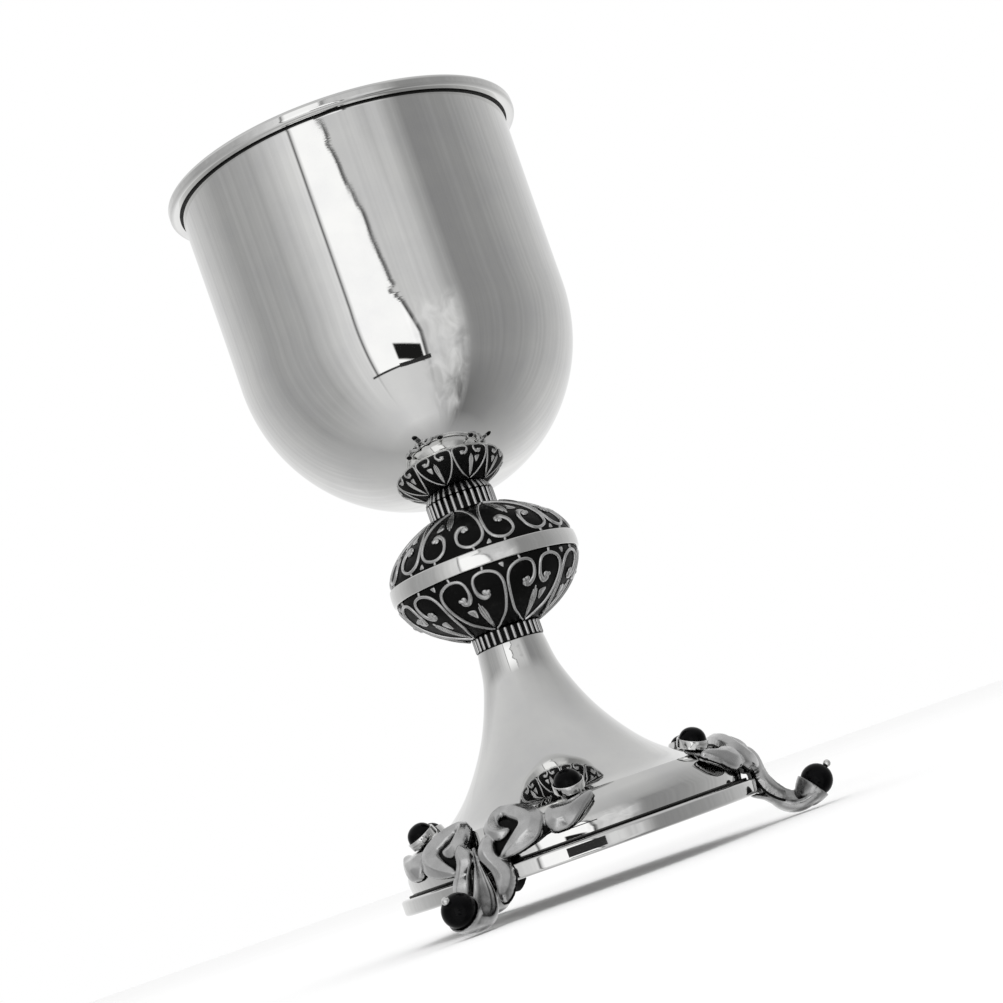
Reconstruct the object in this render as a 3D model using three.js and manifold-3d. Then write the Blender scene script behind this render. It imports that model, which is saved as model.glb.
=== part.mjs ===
// A stemmed silver kiddush cup on three cast leaf feet set with black stones.
// Millimetres, +Z up. The origin is under the middle of the cup's bounding box, on the surface it stands on.
import * as THREE from 'three';
import { mergeVertices } from 'three/addons/utils/BufferGeometryUtils.js';
import Module from 'manifold-3d';

const wasm = await Module();
wasm.setup();

// ---------------------------------------------------------------- driving dimensions
const CUP_HEIGHT = 152;
const SEAM = 0.1; // gap between soldered neighbours that share the cup's axis
const CLEARANCE = 0.3; // gap around anything inside a turned group
const SHEET = 1.0; // thickness of the raised sheet silver

const LARGE_STEPS = 28; // facets round the bowl and base
const KNOP_STEPS = 24;
const SMALL_STEPS = 10; // facets round the stones and their settings

const PLATE = { radius: 35.6, hole: 27, low: 6.2, high: 9.2, edge: 0.7 };
const MOULDING = { radius: 33.2, waist: 11.2, crest: 16.9, crestRadius: 30.4, neckRadius: 28.9 };
const STEM = { top: 48.5, topRadius: 6.7 };
const COLLAR = { radius: 6.9, groove: 0.5, bore: 4.6, flutes: 30, upperHigh: 78.3 };
const BAND = { low: 62.3, high: 65.5, radius: 19.1, belly: 0.35, inner: 17.3 };
const KNOP = { radius: 18.2, lowerDepth: 11.8, upperDepth: 11.0, fullness: 1.75, neck: 6.95 };
const BOWL = { centre: 113.05, radius: 33.55, depth: 34.8, lipRadius: 34.05 };
const RIM = { outer: 36.3, low: 149.6, corner: 0.75 };

const HEARTS = 8; // scrollwork hearts round each half of the knop
const FIRST_HEART = -103; // degrees round the axis to the middle of one of them
const WIRE = 0.45; // half the thickness of the scroll wire
const WIRE_LIFT = 0.45; // how far its middle stands off the knop

const FOOT_ANGLES = [0, 120, 240];
const SHOULDER_ARC = { centre: 27.8, height: 10.2, radius: 9.5 };
const TOE_ARC = { centre: 43.1, height: 9.8, radius: 5.7 };
const BEAD = { radius: 3.1, bore: 0.6, centre: 46.5, height: 4.8, tilt: 38 };
const CUPPED_TOE = { rim: 3.28, setBack: 1.35, depth: 3.1 };
const PIN = { radius: 0.35, ball: 0.75 };
const SETTING = { radius: 2.9, wall: 0.28, height: 1.6, floor: 0.4 };
const SETTING_PLACE = { out: 25.2, side: 16.2, height: 18.1, lean: 26, leanTurn: 36 };
const STONE = { radius: 2.5, domeHeight: 2.1 };

// ---------------------------------------------------------------- materials
function silver(roughness, tone = 0xdadad8) {
  return new THREE.MeshStandardMaterial({ color: tone, metalness: 1, roughness });
}
const polished = () => silver(0.1);
const cast = () => silver(0.32, 0xc4c4c2);
const oxidised = () => silver(0.4, 0x4a4a4c);
const onyx = () => new THREE.MeshStandardMaterial({ color: 0x08080a, metalness: 0, roughness: 0.08 });

// ---------------------------------------------------------------- solids
// Merges the shared vertices, drops triangles that close up on the axis and turns the faces outwards.
function closedSurface(geometry) {
  geometry.deleteAttribute('normal');
  geometry.deleteAttribute('uv');
  const merged = mergeVertices(geometry, 1e-4);
  const place = merged.getAttribute('position');
  const corners = merged.getIndex().array;
  const kept = [];
  let volume = 0;
  const [a, b, c] = [new THREE.Vector3(), new THREE.Vector3(), new THREE.Vector3()];
  for (let i = 0; i < corners.length; i += 3) {
    const [p, q, r] = [corners[i], corners[i + 1], corners[i + 2]];
    if (p === q || q === r || r === p) continue;
    kept.push(p, q, r);
    a.fromBufferAttribute(place, p);
    b.fromBufferAttribute(place, q);
    c.fromBufferAttribute(place, r);
    volume += a.dot(b.cross(c));
  }
  if (volume < 0) kept.reverse();
  const surface = new THREE.BufferGeometry();
  surface.setAttribute('position', new THREE.BufferAttribute(new Float32Array(place.array), 3));
  surface.setIndex(kept);
  return surface;
}

function toManifold(geometry) {
  const surface = closedSurface(geometry);
  return new wasm.Manifold(new wasm.Mesh({
    numProp: 3,
    vertProperties: surface.getAttribute('position').array,
    triVerts: new Uint32Array(surface.getIndex().array),
  }));
}

function fromManifold(manifold) {
  const mesh = manifold.getMesh();
  const geometry = new THREE.BufferGeometry();
  geometry.setAttribute('position', new THREE.BufferAttribute(new Float32Array(mesh.vertProperties), 3));
  geometry.setIndex(Array.from(mesh.triVerts));
  return geometry;
}

function named(name, geometry, material) {
  const mesh = new THREE.Mesh(geometry, material);
  mesh.name = name;
  return mesh;
}

// Turns a section, given as [radius, height] pairs, round the Z axis.
function turned(section, steps) {
  const points = section.map(([radius, height]) => new THREE.Vector2(Math.max(radius, 0), height));
  return new THREE.LatheGeometry(points, steps).rotateX(Math.PI / 2);
}

// A closed ring section with rounded outer corners.
function roundedRing(inner, outer, low, high, corner, steps = 3) {
  const section = [[inner, low]];
  for (const [height, start] of [[low + corner, -90], [high - corner, 0]]) {
    for (let i = 0; i <= steps; i += 1) {
      const angle = THREE.MathUtils.degToRad(start + (90 * i) / steps);
      section.push([outer - corner + corner * Math.cos(angle), height + corner * Math.sin(angle)]);
    }
  }
  section.push([inner, high], [inner, low]);
  return section;
}

// A drawn-out lump: a sphere whose poles run along a curve. wide and deep give its half sizes
// across and through, as lists spread evenly along it, and facing(point) is its outward direction.
function drawnOut(curve, wide, deep, facing, sides, rings) {
  const lump = new THREE.SphereGeometry(1, sides, rings);
  const place = lump.getAttribute('position');
  const spread = (sizes, t) => {
    const at = t * (sizes.length - 1);
    const low = Math.floor(at);
    const high = Math.min(low + 1, sizes.length - 1);
    return THREE.MathUtils.lerp(sizes[low], sizes[high], at - low);
  };
  const v = new THREE.Vector3();
  for (let i = 0; i < place.count; i += 1) {
    v.fromBufferAttribute(place, i);
    const t = Math.acos(THREE.MathUtils.clamp(v.y, -1, 1)) / Math.PI;
    const ring = Math.hypot(v.x, v.z);
    const blunt = ring > 1e-6 ? ring ** 0.45 / ring : 0; // keeps the ends full and rounded
    const centre = curve.getPointAt(t);
    const out = facing(centre).clone();
    const along = curve.getTangentAt(t);
    const across = new THREE.Vector3().crossVectors(out, along).normalize();
    out.crossVectors(along, across).normalize();
    centre.addScaledVector(across, v.z * blunt * spread(wide, t));
    centre.addScaledVector(out, -v.x * blunt * spread(deep, t));
    place.setXYZ(i, centre.x, centre.y, centre.z);
  }
  return lump;
}

function onCylinder(radius, degrees, height) {
  const angle = THREE.MathUtils.degToRad(degrees);
  return new THREE.Vector3(radius * Math.cos(angle), radius * Math.sin(angle), height);
}

// ---------------------------------------------------------------- bowl and rim
function bowlSection(thickness, steps) {
  const side = [];
  for (let i = 0; i <= steps; i += 1) {
    const angle = (Math.PI / 2) * (i / steps);
    side.push([
      (BOWL.radius - thickness) * Math.sin(angle),
      BOWL.centre - (BOWL.depth - thickness) * Math.cos(angle),
    ]);
  }
  side.push([BOWL.lipRadius - thickness, CUP_HEIGHT]);
  return side;
}

function bowl() {
  const section = [...bowlSection(0, 6), ...bowlSection(SHEET, 5).reverse()];
  return named('bowl', closedSurface(turned(section, LARGE_STEPS)), polished());
}

function rimBand() {
  const section = roundedRing(BOWL.lipRadius + SEAM, RIM.outer, RIM.low, CUP_HEIGHT - SEAM, RIM.corner, 1);
  return named('rim_band', closedSurface(turned(section, LARGE_STEPS)), polished());
}

// ---------------------------------------------------------------- collars
// A short tube whose outside is cut into upright flutes.
function collar(name, low, high) {
  const outline = new THREE.Shape();
  for (let i = 0; i < 2 * COLLAR.flutes; i += 1) {
    const radius = COLLAR.radius - ((i + 1) % 2) * COLLAR.groove;
    const point = onCylinder(radius, (180 * i) / COLLAR.flutes, 0);
    if (i === 0) outline.moveTo(point.x, point.y);
    else outline.lineTo(point.x, point.y);
  }
  outline.closePath();
  outline.holes.push(new THREE.Path().absarc(0, 0, COLLAR.bore, 0, 2 * Math.PI, true));
  const tube = new THREE.ExtrudeGeometry(outline, { depth: high - low, bevelEnabled: false, curveSegments: 10 });
  return named(name, closedSurface(tube.translate(0, 0, low)), oxidised());
}

// ---------------------------------------------------------------- knop
// The knop's outline is a slightly pointed oval. rise is 0 at the band and 90 at the cup's axis.
function knopPoint(half, rise, proud = 0) {
  const depth = half < 0 ? KNOP.lowerDepth : KNOP.upperDepth;
  const edge = half < 0 ? BAND.low - SEAM : BAND.high + SEAM;
  const angle = THREE.MathUtils.degToRad(rise);
  const power = 2 / KNOP.fullness;
  return [
    (KNOP.radius + proud) * Math.cos(angle) ** power,
    edge + half * (depth + proud) * Math.sin(angle) ** power,
  ];
}

function knopNeckRise() {
  return THREE.MathUtils.radToDeg(Math.acos((KNOP.neck / KNOP.radius) ** (KNOP.fullness / 2)));
}

// One side of a heart: up from the neck, round the loop and back in to a curled end,
// as [turn from the heart's middle, rise from the band] in degrees.
const HEART_SCROLL = [
  [3, 61.5], [12.5, 56], [19.4, 41], [21, 24], [17, 9.5], [10.5, 6], [4.2, 11], [3.2, 20], [5.5, 28], [9.6, 28],
];
const HEART_BUD = { low: 57, high: 35 };

function scrollwork(half, turn) {
  const facing = (point) => new THREE.Vector3(point.x, point.y, 0).normalize();
  const wires = [-1, 1].map((side) => {
    const path = HEART_SCROLL.map(([away, rise], i) => {
      const [radius, height] = knopPoint(half, rise, i === 0 ? -WIRE_LIFT : WIRE_LIFT);
      return onCylinder(radius, turn + side * away, height);
    });
    return drawnOut(new THREE.CatmullRomCurve3(path), [WIRE], [WIRE], facing, 3, 8);
  });
  const bud = [HEART_BUD.low, HEART_BUD.high].map((rise) => {
    const [radius, height] = knopPoint(half, rise);
    return onCylinder(radius, turn, height);
  });
  wires.push(drawnOut(new THREE.LineCurve3(...bud), [0.7], [0.6], facing, 4, 2));
  return wires;
}

function knopHalf(name, half) {
  const steps = 5;
  const outside = [];
  const inside = [];
  for (let i = 0; i <= steps; i += 1) {
    const rise = (knopNeckRise() * i) / steps;
    outside.push(knopPoint(half, rise));
    if (i % 2 === 0) inside.unshift(knopPoint(half, rise, -SHEET));
  }
  const neck = outside.at(-1);
  const section = [...outside, [COLLAR.bore, neck[1]], ...inside, outside[0]];
  let shell = toManifold(turned(section, KNOP_STEPS));
  for (let i = 0; i < HEARTS; i += 1) {
    const turn = FIRST_HEART + (360 / HEARTS) * i;
    for (const wire of scrollwork(half, turn)) shell = shell.add(toManifold(wire));
  }
  return named(name, fromManifold(shell), oxidised());
}

function knopBand() {
  const middle = (BAND.low + BAND.high) / 2;
  const section = [
    [BAND.inner, BAND.low],
    [BAND.radius - BAND.belly, BAND.low],
    [BAND.radius, middle],
    [BAND.radius - BAND.belly, BAND.high],
    [BAND.inner, BAND.high],
    [BAND.inner, BAND.low],
  ];
  return named('knop_band', closedSurface(turned(section, LARGE_STEPS)), polished());
}

// ---------------------------------------------------------------- stem and base
// The trumpet's outside, from the neck down to the moulding.
const TRUMPET = new THREE.SplineCurve([
  [STEM.topRadius, STEM.top], [7.9, 41.5], [11.75, 32.2], [17.6, 23.8], [23.6, 18.7], [MOULDING.neckRadius, 16.2],
].map(([radius, height]) => new THREE.Vector2(radius, height)));

function mouldingSection(thickness) {
  const shoulder = MOULDING.crest - thickness;
  const outer = MOULDING.radius - thickness;
  const crest = MOULDING.crestRadius - thickness / 2;
  return [
    [crest, shoulder],
    [THREE.MathUtils.lerp(crest, outer, 0.62), THREE.MathUtils.lerp(shoulder, MOULDING.waist, 0.32)],
    [outer, MOULDING.waist],
    [outer - 0.2, PLATE.high + SEAM],
  ];
}

function stem() {
  const outside = TRUMPET.getSpacedPoints(8);
  const inside = [0, 2, 4, 6, 8].map((i) => {
    const slope = TRUMPET.getTangentAt(i / 8);
    const point = outside[i].clone();
    return point.add(new THREE.Vector2(slope.y, -slope.x).multiplyScalar(SHEET));
  });
  inside[0].set(STEM.topRadius - SHEET, STEM.top);
  const outer = [...outside.map((p) => [p.x, p.y]), ...mouldingSection(0)];
  const inner = [...inside.map((p) => [p.x, p.y]), ...mouldingSection(SHEET).slice(1)];
  const section = [...outer, ...inner.reverse(), outer[0]];
  return named('stem', closedSurface(turned(section, LARGE_STEPS)), polished());
}

function basePlate() {
  const section = roundedRing(PLATE.hole, PLATE.radius, PLATE.low, PLATE.high, PLATE.edge, 1);
  return named('base_plate', closedSurface(turned(section, LARGE_STEPS)), polished());
}

// ---------------------------------------------------------------- leaf feet
// Radius of the leaf's outer face at a height: a round shoulder above, then a hollow sweep to the toe.
function leafRadius(height) {
  const shoulder = height - SHOULDER_ARC.height;
  if (height > TOE_ARC.height) {
    return SHOULDER_ARC.centre + Math.sqrt(SHOULDER_ARC.radius ** 2 - shoulder ** 2);
  }
  return TOE_ARC.centre - Math.sqrt(TOE_ARC.radius ** 2 - (TOE_ARC.height - height) ** 2);
}

function leafFacing(point) {
  const rise = Math.max(point.z - SHOULDER_ARC.height, 0) / SHOULDER_ARC.radius;
  return new THREE.Vector3(point.x, point.y, 0).normalize().setZ(rise).normalize();
}

// The lobes on one side of the leaf, as [degrees from the leaf's middle, height], with their half widths.
const LEAF_LOBES = [
  {
    path: [[11.5, 15], [7.2, 15.3], [4.7, 17], [5.8, 18.9], [10.5, 18.8], [16, 17.6], [18.8, 15.5], [17, 13.2],
      [12.5, 12], [6, 10.6]],
    wide: [0.9, 1.0, 0.9, 0.9, 1.4, 2.0, 2.1, 1.8, 1.4, 1.0],
    deep: 1.1,
    rings: 8,
  },
  {
    path: [[1.7, 15.8], [3.2, 13.2], [4.6, 10.6], [6.2, 8.4], [6, 6.2], [3.2, 4.4]],
    wide: [0.7, 1.5, 1.7, 1.7, 1.5, 1.0],
    deep: 1.1,
    rings: 4,
  },
  {
    path: [[17, 13.6], [23, 13.4], [29, 13.9], [33.5, 15.2], [36.8, 17]],
    wide: [1.2, 1.9, 2.0, 1.7, 0.7],
    deep: 1.2,
    rings: 4,
  },
];
const LEAF_KEEL = {
  path: [[36.2, 13.2], [36.8, 9.6], [37.6, 6.4], [39.2, 3.3], [41.6, 1.3], [44.4, 2.0]],
  wide: [0.6, 1.8, 2.6, 3.0, 2.9, 2.2],
  deep: [0.6, 0.9, 1.4, 2.4, 3.1, 2.2],
};

function settingGroup(side) {
  const group = new THREE.Group();
  const lean = THREE.MathUtils.degToRad(SETTING_PLACE.lean);
  const turn = side * THREE.MathUtils.degToRad(SETTING_PLACE.leanTurn);
  group.position.set(SETTING_PLACE.out, side * SETTING_PLACE.side, SETTING_PLACE.height);
  group.quaternion.setFromAxisAngle(new THREE.Vector3(-Math.sin(turn), Math.cos(turn), 0), lean);
  group.updateMatrix();
  return group;
}

// Rests under the setting, carried by the leaf's outer lobe.
function seatLobe(side) {
  const settingTurn = THREE.MathUtils.radToDeg(Math.atan2(SETTING_PLACE.side, SETTING_PLACE.out));
  const underSetting = Math.hypot(SETTING_PLACE.side, SETTING_PLACE.out);
  const path = [
    onCylinder(leafRadius(14.5) - 1.2, side * 27, 14.5),
    onCylinder(underSetting + 3.2, side * 30, 16.4),
    onCylinder(underSetting - 1.6, side * settingTurn, SETTING_PLACE.height - 0.4),
  ];
  const up = () => new THREE.Vector3(0, 0, 1);
  return drawnOut(new THREE.CatmullRomCurve3(path), [2, 2.6, 2.4], [1.2, 1.4, 1.1], up, 6, 4);
}

// A cone that opens towards the bead along the local +Z axis.
function cuppedToe() {
  const { rim, depth } = CUPPED_TOE;
  return turned([[0, -depth], [rim * 0.5, -depth], [rim * 0.85, -depth * 0.45], [rim, 0], [0, 0]], SMALL_STEPS);
}

function beadGroup() {
  const group = new THREE.Group();
  group.position.set(BEAD.centre, 0, BEAD.height);
  group.rotation.y = Math.PI / 2 - THREE.MathUtils.degToRad(BEAD.tilt);
  group.updateMatrix();
  return group;
}

// Everything that the foot must keep clear of: plate, moulding and trumpet, and the surface it stands on.
function footClearance() {
  const grow = CLEARANCE;
  const section = [
    [0, PLATE.low - grow],
    [PLATE.radius + grow, PLATE.low - grow],
    [PLATE.radius + grow, PLATE.high + grow],
    [MOULDING.radius + grow, PLATE.high + grow],
    ...mouldingSection(-grow).slice(0, 3).reverse(),
    [MOULDING.neckRadius, MOULDING.crest + grow - 0.5],
    [23.8, 19.4],
    [17.8, 24.4],
    [0, 24.4],
  ];
  return toManifold(turned(section, 28));
}

function footCasting() {
  const lumps = [];
  for (const side of [-1, 1]) {
    for (const { path, wide, deep, rings } of LEAF_LOBES) {
      const points = path.map(([turn, height]) => onCylinder(leafRadius(height) - deep, side * turn, height));
      lumps.push(drawnOut(new THREE.CatmullRomCurve3(points), wide, [deep], leafFacing, 5, rings));
    }
    lumps.push(seatLobe(side));
  }
  const keel = LEAF_KEEL.path.map(([radius, height]) => new THREE.Vector3(radius, 0, height));
  const keelCurve = new THREE.CatmullRomCurve3(keel);
  const sideways = () => new THREE.Vector3(1, 0, 1).normalize();
  lumps.push(drawnOut(keelCurve, LEAF_KEEL.wide, LEAF_KEEL.deep, sideways, 6, 6));

  const bead = beadGroup();
  const toe = cuppedToe().translate(0, 0, -CUPPED_TOE.setBack).applyMatrix4(bead.matrix);
  lumps.push(toe);

  let casting = toManifold(lumps[0]);
  for (const lump of lumps.slice(1)) casting = casting.add(toManifold(lump));
  casting = casting.subtract(footClearance());

  const ball = new THREE.SphereGeometry(BEAD.radius + CLEARANCE, 8, 6).applyMatrix4(bead.matrix);
  casting = casting.subtract(toManifold(ball));
  for (const side of [-1, 1]) {
    const room = turned([
      [0, -CLEARANCE], [SETTING.radius + CLEARANCE, -CLEARANCE], [SETTING.radius + CLEARANCE, 6], [0, 6],
    ], SMALL_STEPS).applyMatrix4(settingGroup(side).matrix);
    casting = casting.subtract(toManifold(room));
  }
  const ground = new THREE.BoxGeometry(100, 60, 10).translate(50, 0, -5);
  return casting.subtract(toManifold(ground));
}

function bezel() {
  const { radius, wall, height, floor } = SETTING;
  const section = [[0, 0], [radius, 0], [radius, height], [radius - wall, height], [radius - wall, floor], [0, floor]];
  return closedSurface(turned(section, SMALL_STEPS));
}

function cabochon() {
  const base = SETTING.floor + SEAM;
  const girdle = SETTING.height;
  const section = [[0, base], [STONE.radius, base], [STONE.radius, girdle]];
  for (const angle of [32, 62, 90]) {
    const turn = THREE.MathUtils.degToRad(angle);
    section.push([STONE.radius * Math.cos(turn), girdle + STONE.domeHeight * Math.sin(turn)]);
  }
  return closedSurface(turned(section, SMALL_STEPS));
}

function bead() {
  const start = Math.asin(BEAD.bore / BEAD.radius);
  const section = [];
  for (let i = 0; i <= 6; i += 1) {
    const angle = start + (Math.PI - 2 * start) * (i / 6);
    section.push([BEAD.radius * Math.sin(angle), -BEAD.radius * Math.cos(angle)]);
  }
  section.push(section[0]);
  return closedSurface(turned(section, SMALL_STEPS));
}

// A straight wire through the bead that ends in a melted ball.
function beadPin() {
  const ballCentre = BEAD.radius + PIN.ball * 0.75;
  const section = [[0, -BEAD.radius], [PIN.radius, -BEAD.radius]];
  for (const angle of [-62, 0, 50, 90]) {
    const turn = THREE.MathUtils.degToRad(angle);
    section.push([PIN.ball * Math.cos(turn), ballCentre + PIN.ball * Math.sin(turn)]);
  }
  return closedSurface(turned(section, 6));
}

function foot(number, casting) {
  const group = new THREE.Group();
  group.rotation.z = THREE.MathUtils.degToRad(FOOT_ANGLES[number - 1]);
  group.add(named(`foot_${number}`, fromManifold(casting), cast()));
  for (const [hand, side] of [['right', -1], ['left', 1]]) {
    const setting = settingGroup(side);
    setting.add(named(`bezel_${number}_${hand}`, bezel(), polished()));
    setting.add(named(`cabochon_${number}_${hand}`, cabochon(), onyx()));
    group.add(setting);
  }
  const tip = beadGroup();
  tip.add(named(`bead_${number}`, bead(), onyx()));
  tip.add(named(`bead_pin_${number}`, beadPin(), polished()));
  group.add(tip);
  return group;
}

// ---------------------------------------------------------------- the whole cup
const cup = new THREE.Group();
const [, lowerNeck] = knopPoint(-1, knopNeckRise());
const [, upperNeck] = knopPoint(1, knopNeckRise());
cup.add(bowl(), rimBand());
cup.add(collar('upper_collar', upperNeck + SEAM, COLLAR.upperHigh), knopHalf('knop_upper', 1), knopBand());
cup.add(knopHalf('knop_lower', -1), collar('lower_collar', STEM.top + SEAM, lowerNeck - SEAM));
cup.add(stem(), basePlate());
const casting = footCasting();
for (const number of [1, 2, 3]) cup.add(foot(number, casting));

// The feet reach further to one side than the rim does to the other, so the cup's axis stands off the middle.
cup.updateMatrixWorld(true);
const extent = new THREE.Box3().setFromObject(cup, true);
const middle = extent.getCenter(new THREE.Vector3());
cup.position.set(-middle.x, -middle.y, -extent.min.z);

const group = new THREE.Group();
group.add(cup);
export default group;
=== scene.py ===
# %% [markdown]
# # A silver kiddush cup on three leaf feet
# The real cup is raised, spun and cast silver: a plain mirror-polished bowl, a knop covered in soldered
# scroll wire, a trumpet base and three cast feet set with black stones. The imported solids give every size
# and place. Here each of them is dressed with a finer surface: smooth turned forms, round wires laid on a
# blackened ground, and modelled leaves. Everything is worked out in millimetres from the cup's own axis,
# as whole numpy arrays, and turned into metres in the shared frame only when a mesh is made.

# %% Load the fixed frame
import math

import bpy
import mathutils
import numpy as np
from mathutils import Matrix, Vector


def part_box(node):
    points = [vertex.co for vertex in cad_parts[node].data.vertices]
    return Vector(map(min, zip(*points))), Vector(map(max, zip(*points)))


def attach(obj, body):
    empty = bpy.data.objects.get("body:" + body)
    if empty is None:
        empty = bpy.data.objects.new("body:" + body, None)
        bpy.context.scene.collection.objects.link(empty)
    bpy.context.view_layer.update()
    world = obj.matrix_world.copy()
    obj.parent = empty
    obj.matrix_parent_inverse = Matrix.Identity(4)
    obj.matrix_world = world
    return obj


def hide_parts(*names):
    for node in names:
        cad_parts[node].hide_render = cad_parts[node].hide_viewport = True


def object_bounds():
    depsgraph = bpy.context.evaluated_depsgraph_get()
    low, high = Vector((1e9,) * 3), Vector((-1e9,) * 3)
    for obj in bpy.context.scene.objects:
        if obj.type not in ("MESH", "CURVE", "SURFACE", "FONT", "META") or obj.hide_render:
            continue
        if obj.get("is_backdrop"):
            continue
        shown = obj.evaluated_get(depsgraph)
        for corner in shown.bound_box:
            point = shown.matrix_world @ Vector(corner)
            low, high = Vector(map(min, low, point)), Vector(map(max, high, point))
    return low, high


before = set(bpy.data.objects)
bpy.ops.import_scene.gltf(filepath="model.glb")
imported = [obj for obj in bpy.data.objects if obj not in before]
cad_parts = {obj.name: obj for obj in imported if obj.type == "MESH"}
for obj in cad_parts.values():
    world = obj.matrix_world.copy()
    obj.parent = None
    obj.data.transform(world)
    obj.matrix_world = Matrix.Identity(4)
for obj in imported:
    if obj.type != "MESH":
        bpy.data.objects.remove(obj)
solid_low, solid_high = (list(corner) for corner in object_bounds())

MM = 0.001
FINE_ROUND, KNOP_ROUND, SMALL_ROUND = 256, 192, 64  # steps round the bowl and base, the knop, and the stones
FOOT_TURN = 120  # degrees from one foot to the next
band_low, band_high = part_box("knop_band")
AXIS = np.array([(band_low.x + band_high.x) / 2, (band_low.y + band_high.y) / 2, 0.0])
print("nodes", len(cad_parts), "cup axis at x", round(AXIS[0] * 1000, 2), "mm")

# %% [markdown]
# ## Grids, rings and seams
# A turned, swept or modelled form is one grid of points, two parameters wide. The grid can close on itself
# in either direction, like a ring or a tube. Where a form ends in a pole, a whole row of the grid lands on
# one point, so equal points are merged and the empty triangles dropped. That keeps every piece closed, with
# its faces outwards, and it is quicker than mending the mesh by hand.

# %% From a grid of points to a mesh
def grid_faces(rows, columns, close_rows, close_columns):
    """Corner numbers of a grid's four-sided faces, each (i, j) (i+1, j) (i+1, j+1) (i, j+1)."""
    i = np.arange(rows if close_rows else rows - 1)[:, None]
    j = np.arange(columns if close_columns else columns - 1)[None, :]
    below, beside = (i + 1) % rows, (j + 1) % columns
    return np.stack(
        [i * columns + j, below * columns + j, below * columns + beside, i * columns + beside], axis=-1
    ).reshape(-1, 4)


def welded(points, faces):
    """Merges points that agree to 0.001 mm, and parts the four-sided faces from the three-sided ones."""
    _, first, number = np.unique(np.round(points, 3), axis=0, return_index=True, return_inverse=True)
    faces = number.reshape(-1)[faces]
    used = np.unique(faces)
    first, faces = first[used], np.searchsorted(used, faces)
    same = faces == np.roll(faces, -1, axis=1)
    whole = faces[~same.any(axis=1)]
    once = same.sum(axis=1) == 1
    order = (np.argmax(same[once], axis=1)[:, None] + np.arange(1, 4)) % 4
    return points[first], whole, np.take_along_axis(faces[once], order, axis=1)


def signed_volume(points, triangles):
    """A sixth of the sum of each triangle's corner products: positive where the faces point outwards."""
    a, b, c = (points[triangles[:, k]] for k in range(3))
    return np.einsum("ij,ij->i", a, np.cross(b, c)).sum() / 6


def added(name, data):
    """A new object with this data, put into the scene."""
    made = bpy.data.objects.new(name, data)
    bpy.context.scene.collection.objects.link(made)
    return made


def make_piece(name, sheets, material, slot, *nodes, loose=False):
    """A mesh from (points, faces) sheets in millimetres, each closed by itself, moved onto the cup's axis."""
    corners, faces, start = [], [], 0
    for points, quads in sheets:
        points, whole, three = welded(points, quads)
        halves = np.vstack([whole[:, [0, 1, 2]], whole[:, [0, 2, 3]], three])
        if signed_volume(points - points.mean(axis=0), halves) < 0:
            whole, three = whole[:, ::-1], three[:, ::-1]
        corners.append(points)
        faces += (whole + start).tolist() + (three + start).tolist()
        start += len(points)
    corners = np.vstack(corners) * MM + AXIS
    mesh = bpy.data.meshes.new(name)
    mesh.from_pydata(corners.tolist(), [], faces)
    mesh.shade_smooth()
    mesh.set_sharp_from_angle(angle=math.radians(50))
    mesh.materials.append(material)
    piece = added(name, mesh)
    if not loose:
        finish_piece(piece, slot, *nodes)
    return piece


def finish_piece(piece, slot, *nodes):
    """Rides on the cup's one body, stands for its nodes and prints its size."""
    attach(piece, "root")
    if nodes:
        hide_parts(*nodes)
    size = np.array([v for corner in piece.bound_box for v in corner]).reshape(-1, 3)
    size = np.ptp(size, axis=0) * 1000
    print(piece.name, len(piece.data.vertices), "points,", size.round(1), "mm")


# %% Turned forms and paths
def turned(section, steps, closed=True):
    """Each [radius, height] of the section goes round the axis: x = r cos a, y = r sin a, z = height."""
    section = np.asarray(section, float)
    turn = np.linspace(0, 2 * np.pi, steps, endpoint=False)[None, :]
    radius, height = section[:, :1], section[:, 1:]
    points = np.stack([radius * np.cos(turn), radius * np.sin(turn), height + 0 * turn], axis=-1)
    return points.reshape(-1, 3), grid_faces(len(section), steps, closed, True)


def smooth_path(knots, count, closed=False):
    """count even steps along the smooth curve through the knots: each span mixes its four nearest knots."""
    knots = np.asarray(knots, float)
    if closed:
        knots = np.vstack([knots, knots[:1]])
        padded = np.vstack([knots[-2], knots, knots[1]])
    else:
        padded = np.vstack([2 * knots[0] - knots[1], knots, 2 * knots[-1] - knots[-2]])
    t = np.linspace(0, len(knots) - 1, 24 * len(knots))
    span = np.minimum(t.astype(int), len(knots) - 2)
    f = (t - span)[:, None]
    a, b, c, d = (padded[span + k] for k in range(4))
    curve = 0.5 * (2 * b + (c - a) * f + (2 * a - 5 * b + 4 * c - d) * f**2 + (3 * b - a - 3 * c + d) * f**3)
    gone = np.concatenate([[0], np.cumsum(np.linalg.norm(np.diff(curve, axis=0), axis=1))])
    at = np.linspace(0, gone[-1], count)
    return np.stack([np.interp(at, gone, curve[:, k]) for k in range(curve.shape[1])], axis=-1)


def unit(vectors):
    """Each vector divided by its own length."""
    return vectors / np.maximum(np.linalg.norm(vectors, axis=-1, keepdims=True), 1e-12)


def oval(sides):
    """A round section: the cos and sin of each turn."""
    turn = np.linspace(0, 2 * np.pi, sides, endpoint=False)
    return np.stack([np.cos(turn), np.sin(turn)], -1)


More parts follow.
